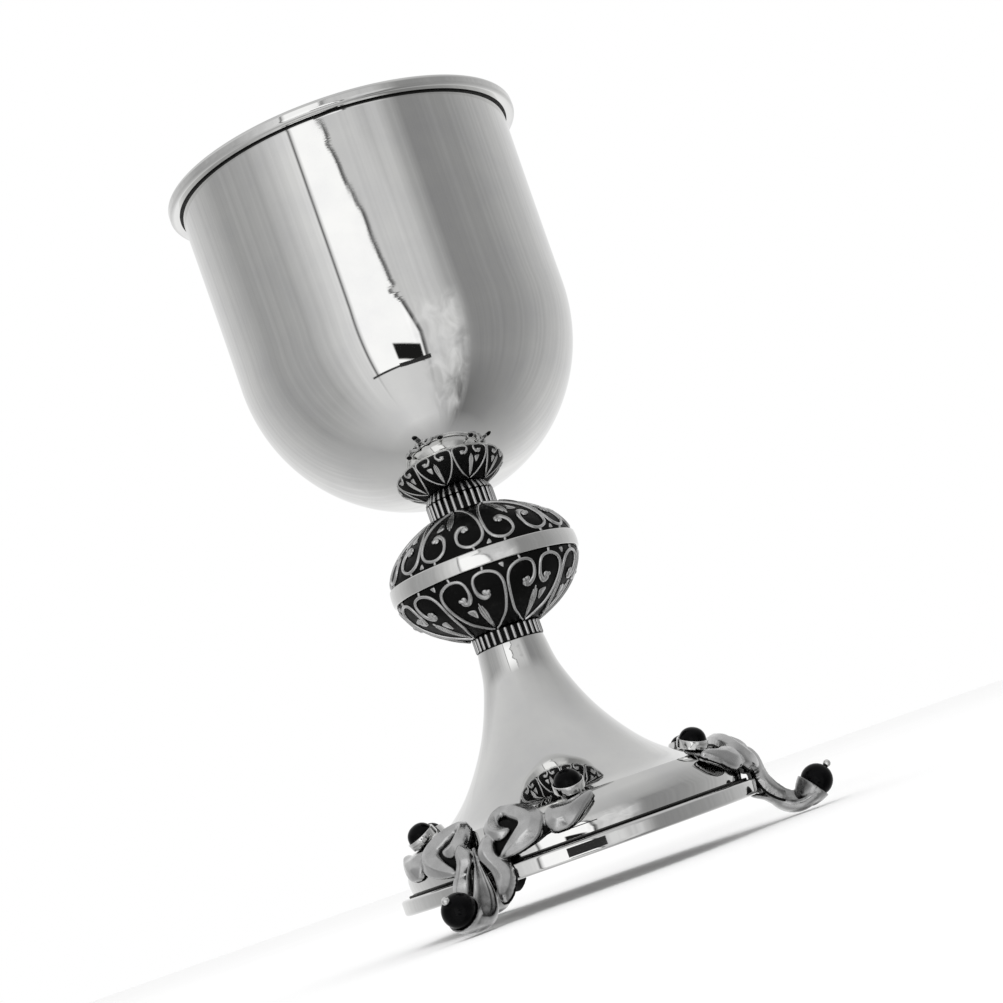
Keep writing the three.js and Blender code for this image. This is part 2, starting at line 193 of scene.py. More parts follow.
def swept(path, outward, wide, deep, section=oval(12), cap=6):
    """A bar along a path with rounded ends. point = centre + wide * s * across + deep * t * out for each
    (s, t) of the section, and the ends shrink on a quarter circle. outward is the way its back faces."""
    count = len(path)
    along = unit(np.gradient(path, axis=0))
    across = unit(np.cross(outward, along))
    out = np.cross(along, across)
    wide = np.interp(np.linspace(0, 1, count), np.linspace(0, 1, len(wide)), wide)
    deep = np.interp(np.linspace(0, 1, count), np.linspace(0, 1, len(deep)), deep)
    shrink = np.sin(np.linspace(0, np.pi / 2, cap + 1)[:-1])
    step = np.sqrt(1 - shrink**2)[:, None]
    start, end = path[0] - along[0] * wide[0] * step, path[-1] + along[-1] * wide[-1] * step
    centre = np.vstack([start, path, end[::-1]])
    shrink = np.concatenate([shrink, np.ones(count), shrink[::-1]])
    row = np.clip(np.arange(len(centre)) - cap, 0, count - 1)
    across, out, wide, deep = across[row], out[row], wide[row] * shrink, deep[row] * shrink
    points = (
        centre[:, None]
        + (wide[:, None] * section[:, 0])[..., None] * across[:, None]
        + (deep[:, None] * section[:, 1])[..., None] * out[:, None]
    )
    return points.reshape(-1, 3), grid_faces(len(centre), len(section), False, True)


def about_axis(points, degrees):
    """Points turned about the cup's axis."""
    a = math.radians(degrees)
    spin = np.array([[math.cos(a), math.sin(a), 0], [-math.sin(a), math.cos(a), 0], [0, 0, 1]])
    return points @ spin


# %% [markdown]
# ## Finishes
# Silver shows almost nothing of itself, only the room. What tells real polish from a perfect mirror is
# fine polishing lines that go round the form, a haze that comes and goes, and a wall that is not quite
# true, so that edges in the reflection wander. All three come from noise on Object coordinates: a slow noise
# bends the surface by a few thousandths of a millimetre, a stretched one lays the lines, and a third moves
# the roughness. The cast leaves and the wires have a satin skin, and their hollows are painted dark as
# shade. Ambient occlusion finds the hollows, because it says how closed in each place of the surface is.

# %% Node helpers
def new_material(name):
    """A material with an empty node tree and its output."""
    material = bpy.data.materials.new(name)
    material.use_nodes = True
    tree = material.node_tree
    tree.nodes.clear()
    tree.nodes.new("ShaderNodeOutputMaterial").name = "out"
    return material, tree


def node(tree, kind, **values):
    """One node, with its properties and its unlinked sockets set by name."""
    made = tree.nodes.new(kind)
    for key, value in values.items():
        if hasattr(made, key):
            setattr(made, key, value)
        else:
            made.inputs[key.replace("_", " ")].default_value = value
    return made


def noise(tree, scale, detail=3.0, rough=0.55, stretch=(1, 1, 1)):
    """Noise on Object coordinates. stretch above 1 packs the pattern closer along that axis."""
    where = node(tree, "ShaderNodeTexCoord")
    fit = node(tree, "ShaderNodeMapping", Scale=stretch, Location=tuple(-AXIS * np.array(stretch)))
    tree.links.new(where.outputs["Object"], fit.inputs["Vector"])
    made = node(tree, "ShaderNodeTexNoise", Scale=scale, Detail=detail, Roughness=rough)
    tree.links.new(fit.outputs["Vector"], made.inputs["Vector"])
    return made.outputs["Fac"]


def remap(tree, value, low, high, to_low, to_high):
    """Carries low..high to to_low..to_high, clamped."""
    made = node(tree, "ShaderNodeMapRange", From_Min=low, From_Max=high, To_Min=to_low, To_Max=to_high)
    tree.links.new(value, made.inputs["Value"])
    return made.outputs["Result"]


def mixed(tree, factor, one, two):
    """A colour between one and two by the factor."""
    made = node(tree, "ShaderNodeMix", data_type="RGBA")
    tree.links.new(factor, made.inputs["Factor"])
    for socket, colour in ((made.inputs["A"], one), (made.inputs["B"], two)):
        if isinstance(colour, tuple):
            socket.default_value = (*colour, 1)
        else:
            tree.links.new(colour, socket)
    return made.outputs["Result"]


def times(tree, one, two):
    """The product of two values."""
    product = node(tree, "ShaderNodeMath", operation="MULTIPLY")
    for place, value in enumerate((one, two)):
        if isinstance(value, (int, float)):
            product.inputs[place].default_value = value
        else:
            tree.links.new(value, product.inputs[place])
    return product.outputs[0]


def plus(tree, one, two):
    """The sum of two values."""
    total = node(tree, "ShaderNodeMath", operation="ADD")
    tree.links.new(one, total.inputs[0])
    tree.links.new(two, total.inputs[1])
    return total.outputs[0]


def between(tree, value, low, high, soft):
    """1 from low to high and 0 outside, with edges of width soft."""
    return times(tree, remap(tree, value, low - soft, low + soft, 0, 1),
                 remap(tree, value, high - soft, high + soft, 1, 0))


def bumped(tree, heights):
    """Bump nodes in a chain, one for each (height, distance in mm, strength)."""
    normal = None
    for height, distance, strength in heights:
        made = node(tree, "ShaderNodeBump", Strength=strength, Distance=distance * MM)
        tree.links.new(height, made.inputs["Height"])
        if normal:
            tree.links.new(normal, made.inputs["Normal"])
        normal = made.outputs["Normal"]
    return normal


def coated(tree, skin, colour, rough, heights):
    """Gives the shader its colour, roughness and chain of bumps, and links it to the output."""
    tree.links.new(colour, skin.inputs["Base Color"])
    tree.links.new(rough, skin.inputs["Roughness"])
    tree.links.new(bumped(tree, heights), skin.inputs["Normal"])
    tree.links.new(skin.outputs[0], tree.nodes["out"].inputs["Surface"])


def height_in(tree, vector):
    """The upward part of a vector."""
    parts = node(tree, "ShaderNodeSeparateXYZ")
    tree.links.new(vector, parts.inputs[0])
    return parts.outputs["Z"]


# %% Mirror silver
def mirror_silver(name, waver, haze):
    """Polished silver: slow waver, lines round the form, and roughness that drifts between two hazes."""
    material, tree = new_material(name)
    skin = node(tree, "ShaderNodeBsdfPrincipled", Metallic=1.0, Specular_IOR_Level=0.5)
    slow = noise(tree, 55, 2.0)
    lines = noise(tree, 900, 2.0, stretch=(0.25, 0.25, 4))
    cloud = noise(tree, 160, 4.0)
    pale, dim = (0.9, 0.9, 0.9 * 0.985), (0.9 * 0.93,) * 3
    coated(tree, skin, mixed(tree, remap(tree, cloud, 0.35, 0.8, 0, 1), pale, dim),
           remap(tree, cloud, 0.3, 0.75, *haze), [(slow, 0.02, waver), (lines, 0.0012, 0.35)])
    return material


polished = mirror_silver("polished silver", waver=0.5, haze=(0.015, 0.05))
band_silver = mirror_silver("silver strip", waver=0.9, haze=(0.05, 0.13))
print("mirror finishes", polished.name, "and", band_silver.name)


# %% Wire, oxide and satin silver
def shaded_satin_silver(name, bright, dark, rough, reach, grain=0.01, edge=(0.25, 0.8), low_patches=False):
    """Silver with painted shade: open faces are bright and hollows are painted dark. Ambient occlusion within
    reach millimetres says how open a place is, and edge gives where the painted shade ends and bright
    begins. A piece may also be darker in noisy patches on faces that look upwards, close to the floor."""
    material, tree = new_material(name)
    skin = node(tree, "ShaderNodeBsdfPrincipled", Metallic=1.0)
    hollow = node(tree, "ShaderNodeAmbientOcclusion", samples=6, Distance=reach * MM)
    speck = noise(tree, 420, 4.0)
    # Painted shade: where ambient occlusion finds a hollow, the colour goes to the dark one.
    open_air = remap(tree, hollow.outputs["AO"], *edge, 0, 1)
    body = mixed(tree, remap(tree, speck, 0.35, 0.7, 0, 1), (bright,) * 3, (bright * 0.82,) * 3)
    if low_patches:
        # Darker in noisy patches on faces that look upwards, close to the floor.
        place, facing = node(tree, "ShaderNodeTexCoord"), node(tree, "ShaderNodeNewGeometry")
        low = remap(tree, height_in(tree, place.outputs["Object"]), 0.0085, 0.004, 0, 1)
        upward = remap(tree, height_in(tree, facing.outputs["Normal"]), -0.35, 0.15, 0, 1)
        patch = remap(tree, noise(tree, 230, 4.0), 0.36, 0.56, 0.3, 1)
        low_dark_patch = times(tree, times(tree, low, upward), patch)
        body = mixed(tree, low_dark_patch, body, (0.1,) * 3)
    fine = noise(tree, 900, 3.0)
    coated(tree, skin, mixed(tree, open_air, (dark,) * 3, body), remap(tree, speck, 0.3, 0.7, *rough),
           [(speck, 0.02, 0.6), (fine, grain, 0.7)])
    return material


# The hollows of the wires and of the cast leaves are painted dark as shade.
wire_silver = shaded_satin_silver("scroll wire", 0.72, 0.01, (0.14, 0.28), 0.7, edge=(0.2, 0.7))
leaf_silver = shaded_satin_silver("cast leaf silver", 0.68, 0.003, (0.13, 0.3), 1.3, grain=0.03, edge=(0.42, 0.8),
                          low_patches=True)


def black_oxide_and_shade(name):
    """Sulphur-blackened silver under the scrolls: nearly matt, with a rubbed spot here and there. The same
    black
    is also painted shade: thin rings under the lip strip and above the plate, and the ground behind the
    leaves.
    """
    material, tree = new_material(name)
    skin = node(tree, "ShaderNodeBsdfPrincipled", Metallic=0.0, Specular_IOR_Level=0.12)
    crust = noise(tree, 700, 5.0)
    coated(tree, skin, mixed(tree, remap(tree, crust, 0.6, 0.85, 0, 1), (0.0015,) * 3, (0.012,) * 3),
           remap(tree, crust, 0.3, 0.7, 0.55, 0.35), [(crust, 0.03, 0.6)])
    return material


def onyx_stone(name):
    """Polished black onyx: a dark body with paler bands, under a glassy polish with faint scratches."""
    material, tree = new_material(name)
    skin = node(tree, "ShaderNodeBsdfPrincipled", Metallic=0.0, IOR=1.18)
    bands = noise(tree, 120, 3.0, stretch=(1, 1, 5))
    wear = noise(tree, 1500, 2.0)
    body = mixed(tree, remap(tree, bands, 0.4, 0.75, 0, 1), (0.0008, 0.0008, 0.001), (0.003, 0.003, 0.0034))
    coated(tree, skin, body, remap(tree, wear, 0.35, 0.7, 0.05, 0.14), [(wear, 0.002, 0.3)])
    return material


# This black is real oxide on the knop and collars, painted shade in the thin rings, and both behind the
# leaves.
oxide_and_shade = black_oxide_and_shade("blackened ground and painted shade")
onyx = onyx_stone("black onyx")
print("satin, shaded and black finishes", wire_silver.name, leaf_silver.name, oxide_and_shade.name, onyx.name)

# %% [markdown]
# ## Bowl and lip
# The bowl is raised from one disc of silver. Its outside is half an oval below and an almost straight wall
# above; the inside runs parallel, one millimetre in. One closed section, down the outside and up the inside,
# turned once round the axis, gives both walls and the rounded lip between them. A plain strip is soldered
# round the lip, and a thin black ring under it is painted shade: the strip's shadow line on the bowl.

# %% Bowl
BOWL = dict(centre=113.05, radius=33.55, depth=34.8, lip=34.05, top=152.0, wall=1.0)


def bowl_wall(inset):
    """radius = R sin a, height = centre - depth cos a for a quarter turn, then nearly straight to the lip."""
    a = np.linspace(0, np.pi / 2, 60)
    radius, depth = BOWL["radius"] - inset, BOWL["depth"] - inset
    cup = np.stack([radius * np.sin(a), BOWL["centre"] - depth * np.cos(a)], -1)
    rise = np.linspace(0, 1, 16)[1:, None]
    top = np.array([[BOWL["lip"] - inset, BOWL["top"] - 0.4]])
    wall = cup[-1] + (top - cup[-1]) * rise
    wall[:, 0] = cup[-1, 0] + (top[0, 0] - cup[-1, 0]) * rise[:, 0] ** 1.5
    return np.vstack([cup, wall])


turn = np.linspace(0, np.pi, 9)[1:-1]
lip = np.stack([BOWL["lip"] - 0.5 + 0.5 * np.cos(turn), BOWL["top"] - 0.4 + 0.4 * np.sin(turn)], -1)
bowl_section = np.vstack([bowl_wall(0), lip, bowl_wall(BOWL["wall"])[::-1]])
make_piece("bowl_surface", [turned(bowl_section, FINE_ROUND, closed=False)], polished,
           "polished_silver", "bowl")


# %% Strips with rounded edges
def strip_section(inner, outer, low, high, corner, belly=0.0):
    """A ring's section: straight inside, rounded corners outside, and a face that swells by belly."""
    a = np.linspace(-np.pi / 2, 0, 8)
    below = np.stack([outer - corner + corner * np.cos(a), low + corner + corner * np.sin(a)], -1)
    above = np.stack([below[::-1, 0], low + high - below[::-1, 1]], -1)
    up = np.linspace(0, 1, 13)[1:-1]
    face = np.stack([outer + belly * np.sin(np.pi * up), low + corner + (high - low - 2 * corner) * up], -1)
    return np.vstack([[inner, low], below, face, above, [inner, high]])


rim = strip_section(34.15, 36.3, 149.6, 151.9, 0.7)
# Painted shade: a thin black ring under the strip, where its shadow line falls on the bowl.
rim_shadow_ring = strip_section(33.9, 34.42, 149.38, 149.62, 0.1)
make_piece("lip_strip", [turned(rim, FINE_ROUND)], polished, "polished_silver", "rim_band")
make_piece("lip_shadow_line", [turned(rim_shadow_ring, FINE_ROUND)], oxide_and_shade, "oxidised_scrollwork")

# %% [markdown]
# ## Fluted collars
# A collar is a short tube wrapped in upright wires that hides each joint of the stem. The wires could be
# cut into the tube as waves, but then tube and wire would be one finish. Real ones are blackened and
# rubbed, so the wires shine and the gaps stay black: thirty thin bars on a black tube show that best.

# %% Collars
FLUTES = 30


def upright_wires(low, high, radius=6.55, thick=0.34):
    """Bars at radius R, one every twelve degrees with one straight in front, from low to high."""
    path = np.stack([0 * np.ones(14), -radius * np.ones(14), np.linspace(low + thick, high - thick, 14)], -1)
    bar = swept(path, np.repeat([[0.0, -1.0, 0.0]], 14, 0), [thick], [thick * 1.1], oval(10))
    return [(about_axis(bar[0], 360 / FLUTES * number), bar[1]) for number in range(FLUTES)]


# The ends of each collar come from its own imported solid. The upper one runs on to the bowl above it.
for name, reach_on in (("upper_collar", 0.7), ("lower_collar", 0.0)):
    low, high = (corner.z * 1000 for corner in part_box(name))
    make_piece(name + "_tube", [turned(strip_section(4.6, 6.5, low, high, 0.2), 120)], oxide_and_shade,
               "oxidised_scrollwork", name)
    make_piece(name + "_wires", upright_wires(low, high + reach_on), wire_silver, "oxidised_scrollwork")
    print(name, "from", round(low, 2), "to", round(high, 2), "mm")

# %% [markdown]
# ## Knop
# The knop is two domed shells closed by a plain strip. Heart-shaped scrolls of round wire are soldered to a
# ground that was blackened, so only the wires shine. The shells are turned. Each wire is a path drawn in the
# dome's own two angles, the turn round the axis and the rise from the strip, and carried out onto the dome,
# with a round bar swept along it. One heart is drawn once for each half and turned eight times.

# %% Knop ground
KNOP = dict(radius=18.2, lower=11.8, upper=11.0, low_edge=62.2, high_edge=65.6, power=2 / 1.75, neck=64.4)
HEARTS = 8
FIRST_HEART = {-1: -102.0, 1: -104.5}


def on_knop(half, turn, rise, proud=0.0):
    """radius = (R + proud) cos(rise)^power, height = edge +- (depth + proud) sin(rise)^power, for arrays."""
    turn, rise = np.radians(turn), np.radians(np.maximum(rise, 0))
    depth, edge = (KNOP["lower"], KNOP["low_edge"]) if half < 0 else (KNOP["upper"], KNOP["high_edge"])
    radius = (KNOP["radius"] + proud) * np.cos(rise) ** KNOP["power"]
    height = edge + half * (depth + proud) * np.sin(rise) ** KNOP["power"]
    return np.stack([radius * np.cos(turn), radius * np.sin(turn), height + 0 * radius], axis=-1)


def knop_facing(half, turn, rise):
    """The way the dome faces: the cross product of its slopes along the two angles."""
    step = 0.5
    east = on_knop(half, turn + step, rise) - on_knop(half, turn - step, rise)
    north = on_knop(half, turn, rise + step) - on_knop(half, turn, np.maximum(rise, 1) - step)
    return unit(np.cross(east, north) * half)


for half, word in ((-1, "lower"), (1, "upper")):
    rise = np.linspace(0, KNOP["neck"], 40)
    outside = on_knop(half, 0 * rise, rise)[:, [0, 2]]
    inside = on_knop(half, 0 * rise, rise, -1.0)[:, [0, 2]]
    inside[:, 0] = np.maximum(inside[:, 0], 4.6)
    make_piece(f"knop_{word}_ground", [turned(np.vstack([outside, inside[::-1]]), KNOP_ROUND)], oxide_and_shade,
               "oxidised_scrollwork", f"knop_{word}")

# %% Scroll wires
# One side of a heart as (turn from its middle, rise): up from the neck, round the loop, and back to a curl.
HEART = {
    -1: [(2.5, 63), (8, 60), (13, 55), (18, 48), (20.5, 36), (21, 22), (19, 13), (15, 8), (10, 6), (5, 8),
         (2.5, 14), (2.5, 24), (6, 29.5), (9, 28), (7.5, 25)],
    1: [(2.5, 63), (8, 60), (13, 56), (18, 48), (21, 36), (21.5, 22), (20, 13), (17, 8), (12, 5.5), (7.5, 8),
        (4.5, 14), (4.5, 24), (8, 30), (11, 29), (10, 26)],
}
WIRE_SIZES = [0.2, 0.24, 0.28, 0.31, 0.33, 0.34, 0.35, 0.36, 0.36, 0.36, 0.35, 0.34, 0.34, 0.36, 0.46,
              0.6, 0.6]


def laid(half, turn, rise, wide, deep, proud=0.12):
    """A bar laid on the dome along (turn, rise) arrays."""
    return swept(on_knop(half, turn, rise, proud), knop_facing(half, turn, rise), wide, deep, oval(10), 4)


def heart_wires(half, middle):
    """The two sides of one heart with their curls, the ridged bud between them and the posts to the strip."""
    bars = []
    for side in (-1, 1):
        line = smooth_path(HEART[half], 90)
        bars.append(laid(half, middle + side * line[:, 0], line[:, 1], WIRE_SIZES, [0.38]))
        # the second lobe of the curl lies beside the first
        turn, rise = HEART[half][-2]
        lobe = smooth_path([(turn - 0.6, rise - 2.0), (turn + 1.0, rise - 3.0)], 6)
        bars.append(laid(half, middle + side * lobe[:, 0], lobe[:, 1], [0.42], [0.42], 0.2))
        turn, rise = min(HEART[half], key=lambda knot: knot[1])
        post = smooth_path([(turn + 0.4, rise), (turn + 0.9, 0.8)], 6)
        bars.append(laid(half, middle + side * post[:, 0], post[:, 1], [0.3], [0.34], 0.0))
    for away, reach, size in ((-1.9, 36, 0.26), (0.0, 33, 0.32), (1.9, 36, 0.26)):
        bud = smooth_path([(0.2 * away, 61), (away * 0.8, 50), (away * 1.1, 43), (away * 0.7, reach)], 24)
        bars.append(laid(half, middle + bud[:, 0], bud[:, 1], [0.12, 0.3, size, size, 0.16], [0.3], 0.0))
    return bars


for half, word in ((-1, "lower"), (1, "upper")):
    scrolls = []
    for number in range(HEARTS):
        scrolls += heart_wires(half, FIRST_HEART[half] + number * 360 / HEARTS)
    make_piece(f"knop_{word}_scrolls", scrolls, wire_silver, "oxidised_scrollwork")


# %% Fillers between the scrolls
def filler(half, corners):
    """A small flat plate: its rounded outline on the dome, domed slightly towards its middle, with a back."""
    ring = smooth_path(corners, 24, closed=True)[:-1]
    middle = ring.mean(axis=0)
    shrink = np.array([1.0, 1.0, 0.86, 0.5, 0.0])[:, None, None]
    angles = middle + (ring - middle) * shrink
    lifts = (-0.3, 0.1, 0.2, 0.24, 0.25)
    points = np.stack([on_knop(half, a[:, 0], a[:, 1], lift) for a, lift in zip(angles, lifts)])
    back = on_knop(half, np.full(23, middle[0]), np.full(23, middle[1]), -0.3)
    points = np.concatenate([back[None], points])
    return points.reshape(-1, 3), grid_faces(len(points), 23, False, True)


for half, word in ((-1, "lower"), (1, "upper")):
    fillers = []
    for number in range(HEARTS):
        middle = FIRST_HEART[half] + number * 360 / HEARTS
        flip = 1 if number % 2 else -1
        plates = [[(flip * 5.0, 38), (flip * 11.5, 37), (flip * 7.5, 46)],
                  [(20.8, 3.0), (24.0, 2.6), (23.2, 8.5)]]
        fillers += [filler(half, np.array(plate) + [middle, 0]) for plate in plates]
    make_piece(f"knop_{word}_fillers", fillers, wire_silver, "oxidised_scrollwork")

# %% Knop strip
strip = strip_section(17.3, 18.95, 62.3, 65.5, 0.25, belly=0.12)
make_piece("knop_strip", [turned(strip, KNOP_ROUND)], band_silver, "polished_silver", "knop_band")

# %% [markdown]
# ## Trumpet stem, moulding and plate
# The base was spun on a lathe, so again one section turned once: the trumpet curve, a rounded moulding, and
# the same line again one millimetre inside. The ring plate below is a plain strip with softened edges.

# %% Stem and plate
TRUMPET = [(6.7, 48.5), (7.9, 41.5), (11.75, 32.2), (17.6, 23.8), (23.6, 18.7), (28.9, 16.2)]


def spun_wall(inset):
    """The trumpet curve and the moulding, moved inwards by inset along the way that the wall faces."""
    crest = smooth_path([(28.9, 16.2), (29.7, 16.75), (30.6, 16.85), (32.1, 15.2), (33.1, 12.6), (33.2, 11.0),
                         (33.0, 9.4)], 40)
    line = np.vstack([smooth_path(TRUMPET, 80), crest[1:]])
    slope = unit(np.gradient(line, axis=0))
    return line + inset * np.stack([slope[:, 1], -slope[:, 0]], -1)


outer, inner = spun_wall(0), spun_wall(1.0)
inner[:, 1] = np.clip(inner[:, 1], 9.4, 48.5)
make_piece("trumpet_stem", [turned(np.vstack([outer, inner[::-1]]), FINE_ROUND)], polished,
           "polished_silver", "stem")
plate = strip_section(27, 35.6, 6.2, 9.2, 0.6)
# Painted shade: a thin black ring in the groove between the moulding and the plate.
groove_shade_ring = strip_section(31.5, 33.9, 9.15, 9.6, 0.15)
make_piece("ring_plate", [turned(plate, FINE_ROUND)], polished, "polished_silver", "base_plate")
make_piece("moulding_groove_shade", [turned(groove_shade_ring, FINE_ROUND)], oxide_and_shade, "oxidised_scrollwork")

# %% [markdown]
# ## Leaf feet
# Each foot is cast: curled leaf lobes in relief over a blackened ground, a ridged keel that runs down to the
# floor, and a cupped toe. Sculpting it by hand would be the usual way. Here each lobe is an outline drawn on
# the leaf's face, in two measures: degrees from the foot's middle and height. The distance from the outline
# says how far the lobe swells, so a whole lobe comes from one formula. The lobes, the keel and the toe are
# then melted together with a fine voxel remesh into one closed skin, as the casting is, and a light
# smoothing rounds the joins. The ground behind is a darker, slightly larger copy. Its black is the blackened
# ground and also painted shade round each lobe and in the holes between them.

# %% The leaf's face
SHOULDER = dict(centre=27.8, height=10.2, radius=9.5)
TOE = dict(centre=43.1, height=9.8, radius=5.7)
DEGREE = math.radians(36.0)  # millimetres in one degree round the leaf's face


def arc_of(height):
    """Millimetres along the face's profile above its waist: a round shoulder above, a hollow sweep below."""
    over = SHOULDER["radius"] * np.arcsin(np.clip((height - SHOULDER["height"]) / SHOULDER["radius"], 0, 1))
    under = TOE["radius"] * np.arcsin(np.clip((TOE["height"] - height) / TOE["radius"], 0, 1))
    return over - under + np.clip(height - SHOULDER["height"], TOE["height"] - SHOULDER["height"], 0)


def on_face(turn, arc, out):
    """The point at turn degrees and arc millimetres, lifted by out along the way that it looks."""
    gap = SHOULDER["height"] - TOE["height"]
    over, under = np.maximum(arc, 0) / SHOULDER["radius"], np.maximum(-arc - gap, 0) / TOE["radius"]
    radius = np.where(arc > 0, SHOULDER["centre"] + SHOULDER["radius"] * np.cos(over),
                      TOE["centre"] - TOE["radius"] * np.cos(under))
    height = np.where(arc > 0, SHOULDER["height"] + SHOULDER["radius"] * np.sin(over),
                      np.maximum(SHOULDER["height"] + arc, TOE["height"]) - TOE["radius"] * np.sin(under))
    lean = over + under
    radius, height, turn = radius + out * np.cos(lean), height + out * np.sin(lean), np.radians(turn)
    return np.stack([radius * np.cos(turn), radius * np.sin(turn), height], -1)


def inside_by(across, up, ring):
    """Distance to the nearest side of the outline, positive inside: a point is inside where a level line
    from it crosses the outline an odd number of times."""
    side = np.roll(ring, -1, axis=0) - ring
    x, y = across[..., None] - ring[:, 0], up[..., None] - ring[:, 1]
    along = np.clip((x * side[:, 0] + y * side[:, 1]) / (side**2).sum(axis=1), 0, 1)
    away = np.hypot(x - along * side[:, 0], y - along * side[:, 1]).min(axis=-1)
    spans = (y < 0) != (y < side[:, 1])
    crossed = spans & (x < side[:, 0] * y / np.where(side[:, 1] == 0, 1, side[:, 1]))
    return np.where(crossed.sum(axis=-1) % 2 == 1, away, -away)


CELL = 0.16  # millimetres from one grid point of a lobe to the next


def lobe(outline, side, lift, thick, swell, grow=0.0, back=1.3):
    """A solid cut from the face along an outline of (degrees, height) knots. Its top climbs from the edge
    like a pitched roof, so a soft crest runs along the middle, and it falls by thick over the last swell
    millimetres before the edge, on a squarish quarter round. Its back is flat."""
    knots = np.array([(turn * DEGREE, arc_of(height)) for turn, height in outline])
    ring = smooth_path(knots, 140, closed=True)[:-1]
    low, high = ring.min(axis=0) - 0.8, ring.max(axis=0) + 0.8
    across, up = (np.arange(start, end, CELL) for start, end in zip(low, high))
    across, up = np.meshgrid(across, up, indexing="ij")
    deep_in = inside_by(across, up, ring) + grow
    rise = 1 - np.clip(deep_in / swell, 0, 1)
    crown = 0.5 * np.clip(deep_in - 0.8, -0.8, 1.3)
    top = on_face(side * across / DEGREE, up, lift + crown - thick * (1 - (1 - rise**2.4) ** (1 / 2.4)))
    bottom = on_face(side * across / DEGREE, up, np.full_like(up, lift - thick - back))
    return walled(top, bottom, deep_in)


def walled(top, bottom, deep_in):
    """Faces over and under every grid cell that lies inside, and a wall where the inside ends."""
    rows, columns = deep_in.shape
    cell = (deep_in[:-1, :-1] + deep_in[1:, :-1] + deep_in[:-1, 1:] + deep_in[1:, 1:]) > 0
    framed = np.pad(cell, 1)
    number = np.arange(rows * columns).reshape(rows, columns)
    a, b, c, d = number[:-1, :-1], number[1:, :-1], number[1:, 1:], number[:-1, 1:]
    under = rows * columns
    faces = [np.stack([a, b, c, d], -1)[cell], np.stack([d, c, b, a], -1)[cell] + under]
    for beyond, p, q in ((framed[:-2, 1:-1], a, d), (framed[2:, 1:-1], c, b),
                         (framed[1:-1, :-2], b, a), (framed[1:-1, 2:], d, c)):
        edge = cell & ~beyond
        faces.append(np.stack([p, q, q + under, p + under], -1)[edge])
    return np.concatenate([top.reshape(-1, 3), bottom.reshape(-1, 3)]), np.concatenate(faces)


# %% Lobes, keel and toe
# The hooked finger and the big curl are one band; then the leg, and the cupped leaf under the stone.
CURL = [(8.5, 14), (5, 15), (3.5, 17), (5, 19), (9, 19.5), (16, 19), (21, 17.5), (22.5, 15.5), (20, 12.5),
        (15, 11), (9, 10.5), (8, 11.5), (13, 14.5), (15, 16), (12, 17.5), (9.5, 18.5), (8, 18), (9, 16.5),
        (12, 15.5), (11, 14.5)]
LEG = [(4.5, 15.5), (2, 14), (1.5, 12), (4, 9), (5.5, 5.5), (7.5, 5), (9.5, 7), (9.5, 9), (6.5, 12),
       (6.5, 14.5)]
CUPPED = [(22.5, 15), (24, 12.5), (27, 12), (30, 12.5), (34, 14.5), (38.5, 17), (36, 17.5), (30.5, 17),
          (24.5, 17)]
LOBES = ((CURL, -0.1, 0.85), (LEG, 0.15, 0.85), (CUPPED, -0.45, 0.8))  # outline, lift and thickness
# The inner ground plates are black fill in the holes between the lobes: painted shade there, besides the
# blackened ground.
INNER_GROUND = [(4.0, 13), (4.5, 17.5), (9, 18.8), (16, 17.8), (20, 15.5), (23.5, 14.6), (23.5, 13.2),
                (16, 11.6), (9, 10.4), (5, 11)]
KEEL = [(36.0, 13.8), (36.4, 11.4), (36.9, 8.8), (37.8, 5.5), (39.6, 3.0), (41.9, 2.1), (44.4, 2.5)]
KEEL_WIDE, KEEL_DEEP = [0.3, 0.7, 1.5, 2.3, 2.9, 3.1, 3.1], [0.4, 0.7, 1.2, 1.75, 2.0, 2.0, 1.9]
KEEL_SECTION = np.array([(0, 1.15), (0.2, 0.5), (0.52, 0.0), (0.82, 0.22), (1, 0.0), (0.78, -0.7), (0, -1),
                         (-0.78, -0.7), (-1, 0.0), (-0.82, 0.22), (-0.52, 0.0), (-0.2, 0.5)])


def lobes():
    """The raised lobes of one foot that points along +X, both sides."""
    return [lobe(outline, side, lift, thick, 0.5, grow=0.16)
            for side in (-1, 1) for outline, lift, thick in LOBES]


def ground():
    """The blackened ground, which is also painted shade round and between the lobes: every lobe again, larger
    and set back, and a plate on each side of the middle.
    """
    plates = [lobe(outline, side, -1.25, 0.3, 0.4, grow=0.36, back=0.6)
              for side in (-1, 1) for outline, _, _ in LOBES]
    return plates + [lobe(INNER_GROUND, side, -1.8, 0.3, 0.4, back=0.7) for side in (-1, 1)]


BEAD = dict(radius=3.1, centre=46.5, height=4.8, tilt=38)


def in_bead_frame(points):
    """Local +Z along the pin, 38 degrees above the floor, carried to the bead's centre."""
    lean = math.radians(90 - BEAD["tilt"])
    spin = np.array([[math.cos(lean), 0, math.sin(lean)], [0, 1, 0], [-math.sin(lean), 0, math.cos(lean)]])
    return points @ spin.T + [BEAD["centre"], 0, BEAD["height"]]


def cup_wall():
    """The cup that takes the bead: a thick dish outside, and inside a hollow just wider than the bead."""
    outside = [(0, -5.3), (1.2, -5.15), (2.2, -4.4), (2.85, -3.1), (3.2, -2.0), (3.36, -1.25)]
    outside = smooth_path(outside, 30)
    a = np.linspace(0, math.acos(1.2 / 3.2), 24)
    inside = np.stack([3.2 * np.sin(a), -3.2 * np.cos(a)], -1)
    points, faces = turned(np.vstack([outside, inside[::-1]]), SMALL_ROUND, closed=False)
    return in_bead_frame(points), faces


